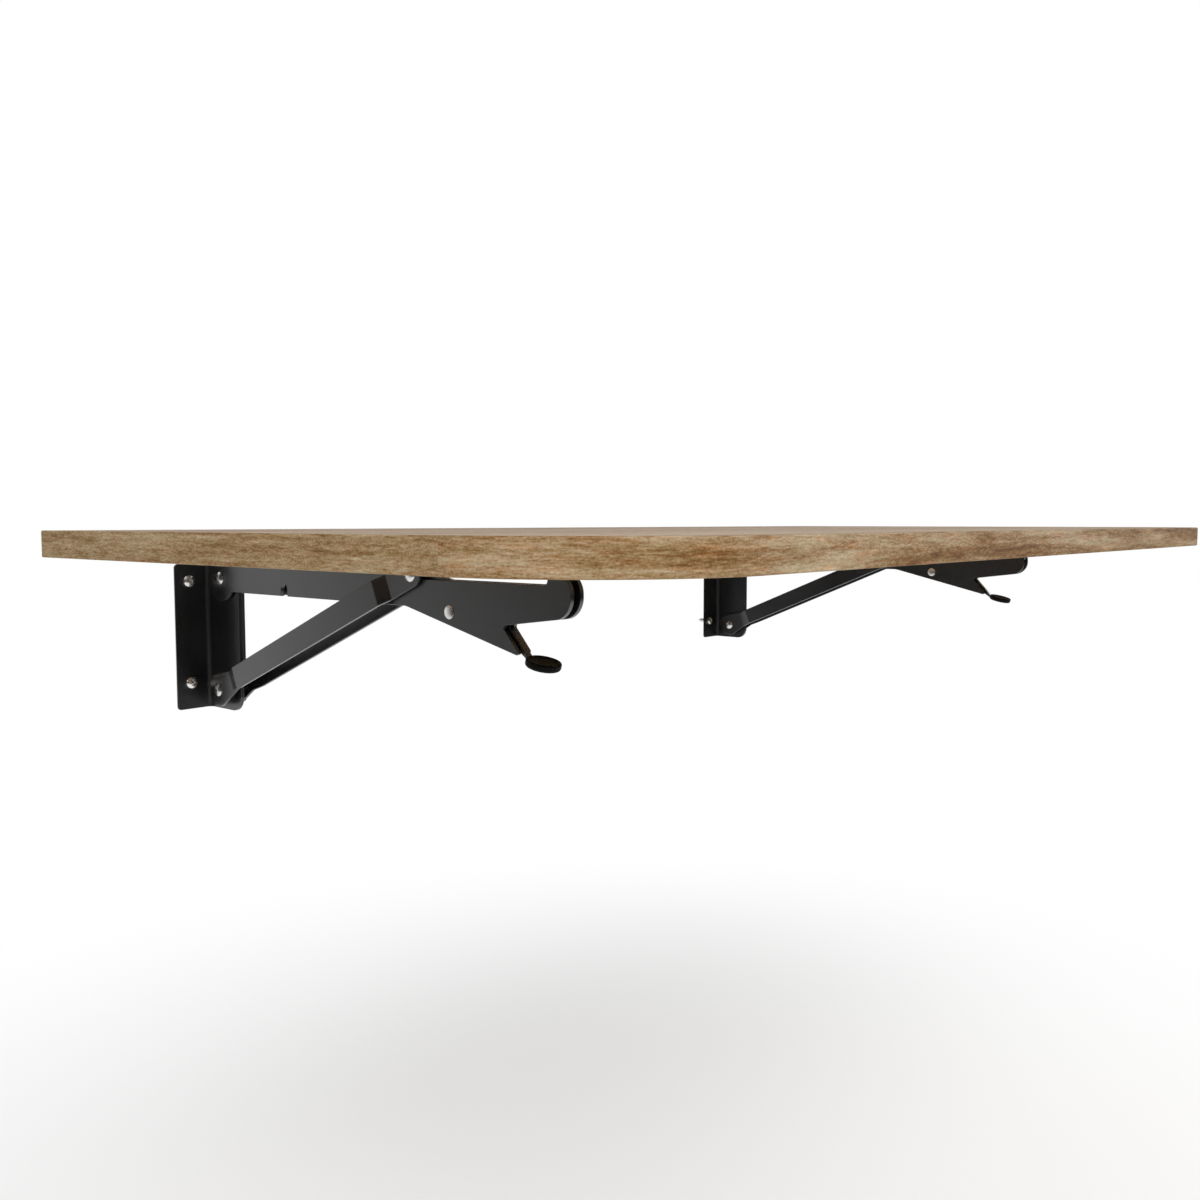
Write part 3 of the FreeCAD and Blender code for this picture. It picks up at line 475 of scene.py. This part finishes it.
def grid_mesh(name, points, uv=None):
    """Closed mesh of an (n, m, 3) grid of points.

    Each row is a ring. Doubled points are merged, so a first or last row at one place becomes a pole,
    and an open one gets a flat cap.
    """
    rows, columns = points.shape[:2]
    index = np.arange(rows * columns).reshape(rows, columns)
    ring = np.hstack([index, index[:, :1]])
    quads = np.stack([ring[:-1, :-1], ring[1:, :-1], ring[1:, 1:], ring[:-1, 1:]], -1).reshape(-1, 4)
    mesh = bpy.data.meshes.new(name)
    mesh.from_pydata(points.reshape(-1, 3), [], quads.tolist())
    if uv is not None:
        layer = mesh.uv_layers.new(name="band")
        layer.data.foreach_set("uv", uv(quads).astype(np.float32).ravel())
    shape = bmesh.new()
    shape.from_mesh(mesh)
    bmesh.ops.remove_doubles(shape, verts=shape.verts, dist=WELD)
    bmesh.ops.holes_fill(shape, edges=[e for e in shape.edges if e.is_boundary])
    bmesh.ops.recalc_face_normals(shape, faces=shape.faces)
    shape.to_mesh(mesh)
    shape.free()
    return mesh


# ---- turned pieces: screws, rivets and thumb pads

def arc(centre, radius, start, end, steps):
    """Points (height + r cos a, radius + r sin a) round centre, a in degrees from the height axis."""
    angle = np.radians(np.linspace(start, end, steps))
    return np.stack([centre[0] + radius * np.cos(angle), centre[1] + radius * np.sin(angle)], -1)


def turned(profile, sides, relief=None):
    """Profile (height, radius) carried round an axis: (h, r cos t, r sin t). relief lowers the height."""
    angle = np.linspace(0, 2 * math.pi, sides, endpoint=False)
    height = np.repeat(profile[:, :1], sides, 1)
    side = profile[:, 1:] * np.cos(angle)
    up = profile[:, 1:] * np.sin(angle)
    if relief is not None:
        height = height - relief(height, side, up)
    return np.stack([height, side, up], -1)


def placed(points, origin, axis):
    """Points (height, side, up) as origin + height * axis + side * S + up * U, S and U square to axis."""
    axis = np.asarray(axis, float) / np.linalg.norm(axis)
    side = np.cross(axis, (0, 0, 1) if abs(axis[2]) < 0.9 else (1, 0, 0))
    side = side / np.linalg.norm(side)
    up = np.cross(axis, side)
    return np.asarray(origin) + points @ np.stack([axis, side, up])


def join_turned(grids, name, node):
    """Several turned forms as one piece in the place of a node."""
    shape = bmesh.new()
    for points in grids:
        shape.from_mesh(grid_mesh(name, points))
    whole = bpy.data.meshes.new(name)
    shape.to_mesh(whole)
    shape.free()
    finish_mesh(whole, SLOT_OF[node], TURNED_SMOOTH)
    stand_for(whole, name, node)


def smooth_step(value, low, high):
    """s * s * (3 - 2 s), where s is value's share of the way from low to high, held between 0 and 1.

    It rises from 0 at low to 1 at high. Where low is the greater, it falls as value grows.
    """
    share = np.clip((value - low) / (high - low), 0, 1)
    return share * share * (3 - 2 * share)


def cross_recess(head_r, head_h):
    """Depth of a cross recess: two slots that taper towards their ends, with soft sides and ends.

    Along an arm, a from the middle, the half width is width * (middle - taper * a / reach). The depth is
    full inside it and fades to nothing over the soft margin and over the last part of the reach.
    """
    reach = RECESS_REACH_SHARE * head_r
    width = RECESS_WIDTH_SHARE * head_r
    soft = RECESS_SOFT * width

    def depth(height, side, up):
        """How far the head sinks at (side, up), if height is on its top."""
        inside = 0.0
        for a, b in ((side, up), (up, side)):
            taper = width * (RECESS_MIDDLE - RECESS_TAPER * np.abs(a) / reach)
            within = smooth_step(np.abs(b), taper + soft, taper - soft)
            arm = within * smooth_step(np.abs(a), reach, reach * RECESS_FULL)
            inside = np.maximum(inside, arm)
        on_top = smooth_step(height, RECESS_FROM * head_h, RECESS_TO * head_h)
        return inside * on_top * RECESS_DEPTH_SHARE * head_h

    return depth


def pan_screw(head_r, head_h, shank_r, length, neck_r, neck):
    """Pan head wood screw, head up along +height from its seat at 0.

    From the point up: a cone, the thread, a plain neck, a straight rim and a low crown with a cross
    recess. The crown is part of a ball, height = foot + sqrt(ball^2 - r^2) - (ball - crown height). The
    thread's radius is shank - depth * (1 - w^3), where w is a cosine wave between 0 and 1 once to a pitch,
    so its crests are narrow and stand out from the core.
    """
    crown_h = CROWN_HEIGHT * head_h
    ball = (head_r ** 2 + crown_h ** 2) / (2 * crown_h)
    radii = np.linspace(head_r * CROWN_FOOT, 0, CROWN_STEPS)
    crown = CROWN_FOOT_HEIGHT * head_h + np.sqrt(ball ** 2 - radii ** 2) - (ball - crown_h)
    rim = [(0.0, neck_r), (0.0, head_r * HEAD_FOOT), (HEAD_FOOT_HEIGHT * head_h, head_r),
           (HEAD_RIM_HEIGHT * head_h, head_r)]
    point = shank_r * POINT_SHARE
    along = np.arange(-neck, point - length, -THREAD_PITCH / THREAD_STEPS)
    wave = 0.5 + 0.5 * np.cos(2 * math.pi * along / THREAD_PITCH)
    thread = np.stack([along, shank_r - THREAD_DEPTH * (1 - wave ** 3)], -1)
    profile = np.concatenate([[(-length, 0.0), (point - length, shank_r - THREAD_DEPTH)], thread[::-1],
                              [(-neck, neck_r)], rim, np.stack([crown, radii], -1)])
    return turned(profile, SCREW_SIDES, cross_recess(head_r, head_h))


def screws(node, name, outward, head_h, shank_r, neck_r, neck):
    """A pan screw for each solid in the node, its head towards outward."""
    outward = np.asarray(outward, float)
    axis = int(np.argmax(np.abs(outward)))
    across = (axis + 1) % 3
    parts = []
    for low, high in islands(node):
        length = high[axis] - low[axis]
        head_r = (high[across] - low[across]) / 2
        seat = (low + high) / 2 + outward * (length / 2 - head_h)
        parts.append(placed(pan_screw(head_r, head_h, shank_r, length - head_h, neck_r, neck), seat, outward))
    join_turned(parts, name, node)


def dome(seat, height, radius):
    """Half profile of a domed head from its foot to its pole, with a short straight rim.

    The dome is part of a ball, height = rim + sqrt(ball^2 - r^2) - (ball - rise).
    """
    rim = DOME_RIM * height
    rise = height - rim
    ball = (radius ** 2 + rise ** 2) / (2 * rise)
    radii = np.linspace(radius, 0, DOME_STEPS)
    heights = rim + np.sqrt(ball ** 2 - radii ** 2) - (ball - rise)
    start = [(0.0, radius * DOME_FOOT), (DOME_FOOT_HEIGHT * rim, radius)]
    points = np.concatenate([start, np.stack([heights, radii], -1)])
    return np.stack([seat + points[:, 0], points[:, 1]], -1)


def rivets(node, name, head_h, shank_share):
    """Rivets along X, each with a domed head at both ends."""
    parts = []
    for low, high in islands(node):
        radius = (high[1] - low[1]) / 2
        middle = (low + high) / 2
        half = (high[0] - low[0]) / 2
        shank = shank_share * radius
        right = np.concatenate([[(0.0, shank), (half - head_h, shank)], dome(half - head_h, head_h, radius)])
        left = right[::-1] * (-1, 1)
        parts.append(placed(turned(np.concatenate([left, right]), RIVET_SIDES), middle, (1, 0, 0)))
    join_turned(parts, name, node)


def ear_rivets(node, name, head_h, shank_share):
    """Short rivets with a domed head on the side away from the bracket's middle."""
    middle_x = sum(corner.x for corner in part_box(node)) / 2
    parts = []
    for low, high in islands(node):
        radius = (high[1] - low[1]) / 2
        length = high[0] - low[0]
        away = 1 if low[0] > middle_x else -1
        origin = (low + high) / 2 - np.array((away * length / 2, 0, 0))
        shank = shank_share * radius
        start = [(0.0, 0.0), (0.0, shank), (length - head_h, shank)]
        profile = np.concatenate([start, dome(length - head_h, head_h, radius)])
        parts.append(placed(turned(profile, RIVET_SIDES), origin, (away, 0, 0)))
    join_turned(parts, name, node)


def thumb_pad(side):
    """Moulded disc with a round foot, a round rim and a shallow dish, seated on the lever's tongue.

    The dish is height = thick - depth + rise * t^2 at radius = (lip - inset) * t, with t from 1 at its
    edge to 0 in the middle.
    """
    node = f"thumb_pad_{side}"
    base, axis, thick, radius = thin_axis(node)
    edge = PAD_FOOT * thick
    lip = radius - PAD_RIM
    rim_r = PAD_RIM / 2
    dish = np.linspace(1, 0, PAD_DISH_STEPS)
    bowl = np.stack([thick - PAD_DISH + PAD_BOWL_RISE * PAD_DISH * dish ** 2,
                     (lip - PAD_BOWL_INSET * PAD_DISH) * dish], -1)
    foot = arc((edge, radius - edge), edge, 180, 90, PAD_FOOT_STEPS)
    rim = arc((thick - rim_r, radius - rim_r), rim_r, 90, -10, PAD_RIM_STEPS)
    profile = np.concatenate([[(0.0, 0.0), (0.0, radius - edge)], foot, rim, bowl])
    mesh = grid_mesh(node, placed(turned(profile, PAD_SIDES), base, axis))
    finish_mesh(mesh, SLOT_OF[node], MOULDED_SMOOTH)
    stand_for(mesh, f"thumb_pad_moulding_{side}", node)


# ---- edge band

def band_profile(height):
    """Closed section of the band: (out, up) points with two rounded outer edges.

    The lower one is (thick - r + r sin t, r - r cos t) for t from 0 to a right angle, the upper one the
    same upside down.
    """
    r = BAND_EDGE_R
    turn = np.radians(np.linspace(0, 90, EDGE_STEPS))
    lower = np.stack([BAND_THICK - r + r * np.sin(turn), r - r * np.cos(turn)], -1)
    upper = lower[::-1] * (1, -1) + (0, height)
    return np.concatenate([[(0.0, 0.0)], lower, upper, [(0.0, height)]])


def band(node, name, path, outward, joints=()):
    """Section carried along a level path: point = path + outward * out + up.

    The print's place is (run along the path, way round the section), and jumps between the two joints,
    each given as (1 or -1 for the start or the end, its number on the path).
    """
    low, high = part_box(node)
    section = band_profile(high.z - low.z)
    points = path[:, None, :] + outward[:, None, :] * section[None, :, :1]
    points = points + np.array((0, 0, 1)) * section[None, :, 1:]
    points[..., 2] += low.z
    run = np.concatenate([[0.0], np.cumsum(np.linalg.norm(np.diff(path, axis=0), axis=1))])
    around = np.concatenate([[0.0], np.cumsum(np.linalg.norm(np.diff(section, axis=0), axis=1))])
    place = np.stack(np.broadcast_arrays(run[:, None], around[None, :]), -1).reshape(-1, 2)

    def print_place(quads):
        """Place in the print of each quad's corners."""
        spots = place[quads]
        middle = spots[:, :, 0].mean(1)
        between = np.logical_and(*(sign * (middle - run[at]) > 0 for sign, at in joints)) if joints else 0
        spots[:, :, 0] += BAND_JOINT_JUMP * np.broadcast_to(between, middle.shape)[:, None]
        return spots

    mesh = grid_mesh(name, points, uv=print_place)
    finish_mesh(mesh, SLOT_OF[node], MOULDED_SMOOTH)
    stand_for(mesh, name, node)


def edge_bands():
    """Band round the ends and front with its two corner arcs, and a straight one along the back.

    The path runs from the wall along the left end, round the front and back along the right end. A corner
    is centre + corner * (cos t, sin t) for t from 0 to a right angle, mirrored to its side.
    """
    low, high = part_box("edge_band_front")
    left, right = low.x + BAND_THICK, high.x - BAND_THICK
    front, back = low.y + BAND_THICK, high.y
    corner = FRONT_CORNER_R - BAND_THICK
    turn = np.radians(np.linspace(0, 90, CORNER_STEPS))
    quarter = np.stack([np.cos(turn), np.sin(turn), 0 * turn], -1)
    ends = np.linspace(back, front + corner, END_STEPS)
    reach = np.linspace(left + corner, right - corner, FRONT_STEPS)[1:-1]
    west = np.stack([left + 0 * ends, ends, 0 * ends], -1)
    south = np.stack([reach, front + 0 * reach, 0 * reach], -1)
    east = (west * (-1, 1, 1))[::-1]
    south_west = np.array((left + corner, front + corner, 0)) + corner * quarter * (-1, -1, 1)
    south_east = np.array((right - corner, front + corner, 0)) + corner * quarter[::-1] * (1, -1, 1)
    path = np.concatenate([west[:-1], south_west, south, south_east, east[1:]])
    outward = np.concatenate([np.tile((-1.0, 0, 0), (len(west) - 1, 1)), quarter * (-1, -1, 1),
                              np.tile((0, -1.0, 0), (len(south), 1)), quarter[::-1] * (1, -1, 1),
                              np.tile((1.0, 0, 0), (len(east) - 1, 1))])
    first, last = len(west) - 1, len(path) - len(east)
    band("edge_band_front", "edge_band_round_front", path, outward, [(1, first), (-1, last)])
    low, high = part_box("edge_band_back")
    reach = np.linspace(high.x, low.x, BACK_STEPS)
    path = np.stack([reach, low.y + 0 * reach, 0 * reach], -1)
    band("edge_band_back", "edge_band_along_back", path, np.tile((0, 1.0, 0), (len(path), 1)))


def bracket(side):
    """Everything of one folding bracket but its washers, rollers and spring."""
    for half in ("outer", "inner"):
        eased(f"wall_angle_{half}_{side}", f"wall_angle_{half}_{side}_coated", PLATE_EDGE_R)
        eased(f"arm_{half}_{side}", f"arm_{half}_{side}_coated", PLATE_EDGE_R)
        eased(f"strut_{half}_{side}", f"strut_{half}_{side}_coated", STRUT_EDGE_R)
    eased(f"release_lever_{side}", f"release_lever_{side}_coated", LEVER_EDGE_R)
    screws(f"wall_screws_{side}", f"wall_screws_{side}_plated", (0, -1, 0), WALL_SCREW_HEAD_H,
           WALL_SCREW_SHANK_R, WALL_SCREW_NECK_R, WALL_SCREW_NECK)
    screws(f"arm_screws_{side}", f"arm_screws_{side}_plated", (0, 0, -1), BOARD_SCREW_HEAD_H,
           BOARD_SCREW_SHANK_R, BOARD_SCREW_SHANK_R, BOARD_SCREW_NECK)
    for kind, (head_h, shank_share) in RIVETS.items():
        rivets(f"{kind}_{side}", f"{kind}_{side}_plated", head_h, shank_share)
    ear_rivets(f"strut_head_rivets_{side}", f"strut_head_rivets_{side}_plated", *EAR_RIVET)
    thumb_pad(side)


# ---- stage

SKY = 0.62                          # the world's light on matt surfaces
WALL_SIDE = (0.35, 0.94, 0.0)       # where shiny faces see the white wall strongest
WALL_FROM, WALL_TO = 0.26, 0.66     # a direction's share that way where the wall starts, and is full
DARK_ROOM, WHITE_WALL = 0.02, 0.82  # what shiny faces see in front, and behind
LAMP_AIM = (0, -0.3, 0)
KEY_PLACE, KEY_SIZE, KEY_POWER = (-2.2, -2.6, 2.4), 2.4, 90.0
FILL_PLACE, FILL_SIZE, FILL_POWER = (2.8, -1.6, 1.2), 2.0, 30.0
FLOOR_DROP = 0.75                   # a table's height from the leaf's top to the floor
FLOOR_REACH = 2.2
FLOOR_NEAR, FLOOR_FAR = 0.5, 1.5    # from the table's middle, between which the floor turns white
EYE_PLACE = (-0.80831, -0.79948, 0.08623)
EYE_YAW, EYE_DROP = 0.8613, 0.0718  # turned to the right, and tipped down, in radians
SENSOR, LENS = 36.0, 32.6           # mm


def studio():
    """White room: an even sky for matt surfaces, and for shiny ones a white wall behind the table."""
    world = bpy.data.worlds.new("studio")
    bpy.context.scene.world = world
    world.use_nodes = True
    tree = world.node_tree
    tree.nodes.clear()
    path = add_node(tree, "LightPath")
    # shiny faces see a white wall behind the table, strongest to its right, and a dark room in front
    towards = add_node(tree, "VectorMath", {0: add_node(tree, "TexCoord").outputs["Generated"],
                                            1: WALL_SIDE}, operation="DOT_PRODUCT")
    room = add_node(tree, "MapRange", {0: towards.outputs["Value"], 1: WALL_FROM, 2: WALL_TO, 3: DARK_ROOM,
                                       4: WHITE_WALL})
    soft = add_node(tree, "Background", {"Color": (1, 1, 1, 1), "Strength": SKY})
    mirror = add_node(tree, "Background", {"Color": (1, 1, 1, 1), "Strength": room.outputs[0]})
    white = add_node(tree, "Background", {"Color": (1, 1, 1, 1), "Strength": 1.0})
    shiny = add_node(tree, "MixShader", {0: path.outputs["Is Glossy Ray"], 1: soft.outputs[0],
                                         2: mirror.outputs[0]})
    seen = add_node(tree, "Math", {0: path.outputs["Is Camera Ray"], 1: path.outputs["Is Transmission Ray"]},
                    operation="MAXIMUM")
    mixed = add_node(tree, "MixShader", {0: seen.outputs[0], 1: shiny.outputs[0], 2: white.outputs[0]})
    add_node(tree, "OutputWorld", {"Surface": mixed.outputs[0]})


def soft_box(name, place, aim, size, power):
    """Square area lamp at place that faces aim."""
    lamp = bpy.data.lights.new(name, "AREA")
    lamp.shape = "SQUARE"
    lamp.size = size
    lamp.energy = power
    holder = bpy.data.objects.new(name, lamp)
    bpy.context.scene.collection.objects.link(holder)
    holder.location = place
    holder.rotation_mode = "QUATERNION"
    holder.rotation_quaternion = (Vector(aim) - Vector(place)).to_track_quat("-Z", "Y")


def floor():
    """Pale floor a table's height below the leaf's top, white far out, and clear from underneath."""
    low, high = CAD_BOX
    middle = (low + high) / 2
    level = high.z - FLOOR_DROP
    reach = FLOOR_REACH
    mesh = bpy.data.meshes.new("floor")
    mesh.from_pydata([(x, y, level) for x, y in ((-reach, -reach), (reach, -reach), (reach, reach),
                                                 (-reach, reach))], [], [(0, 1, 2, 3)])
    # matt white paint that takes the table's soft shadow and glows into the white background far out
    made, tree = material("matt_white_floor")
    matt = add_node(tree, "BsdfDiffuse", {"Color": srgb("#fafafa")})
    glow = add_node(tree, "Emission", {"Strength": 1.0})
    spot = add_node(tree, "TexCoord").outputs["Object"]
    away = add_node(tree, "VectorMath", {0: spot, 1: (middle.x, middle.y, level)}, operation="DISTANCE")
    far = add_node(tree, "MapRange", {0: away.outputs["Value"], 1: FLOOR_NEAR, 2: FLOOR_FAR},
                   interpolation_type="SMOOTHSTEP")
    path = add_node(tree, "LightPath")
    bright = add_node(tree, "Math", {0: far.outputs[0], 1: path.outputs["Is Camera Ray"]},
                      operation="MULTIPLY")
    seen = add_node(tree, "MixShader", {0: bright.outputs[0], 1: matt.outputs[0], 2: glow.outputs[0]})
    clear = add_node(tree, "BsdfTransparent")
    below = add_node(tree, "NewGeometry").outputs["Backfacing"]
    both = add_node(tree, "MixShader", {0: below, 1: seen.outputs[0], 2: clear.outputs[0]})
    add_node(tree, "OutputMaterial", {"Surface": both.outputs[0]})
    mesh.materials.append(made)
    ground = bpy.data.objects.new("floor", mesh)
    bpy.context.scene.collection.objects.link(ground)


def camera():
    """Beyond the front left corner, about 6 mm above the leaf's top, looking across it and slightly down."""
    lens = bpy.data.cameras.new("camera")
    lens.sensor_width = SENSOR
    lens.lens = LENS
    eye = bpy.data.objects.new("camera", lens)
    bpy.context.scene.collection.objects.link(eye)
    eye.location = EYE_PLACE
    forward = Vector((math.sin(EYE_YAW) * math.cos(EYE_DROP), math.cos(EYE_YAW) * math.cos(EYE_DROP),
                      -math.sin(EYE_DROP)))
    eye.rotation_mode = "QUATERNION"
    eye.rotation_quaternion = forward.to_track_quat("-Z", "Y")
    bpy.context.scene.camera = eye


def main():
    """Finishes for the solids that stay, then the other pieces, the stage and the camera."""
    coat(NODES["tabletop_board"].data, SLOT_OF["tabletop_board"])
    for side in SIDES:
        for node in (f"arm_hinge_washers_{side}", f"slot_rollers_{side}", f"lever_spring_{side}"):
            coat(NODES[node].data, SLOT_OF[node])
        bracket(side)
    edge_bands()
    studio()
    soft_box("key", KEY_PLACE, LAMP_AIM, KEY_SIZE, KEY_POWER)
    soft_box("fill", FILL_PLACE, LAMP_AIM, FILL_SIZE, FILL_POWER)
    floor()
    camera()
    bpy.context.scene.view_settings.view_transform = "Standard"


main()
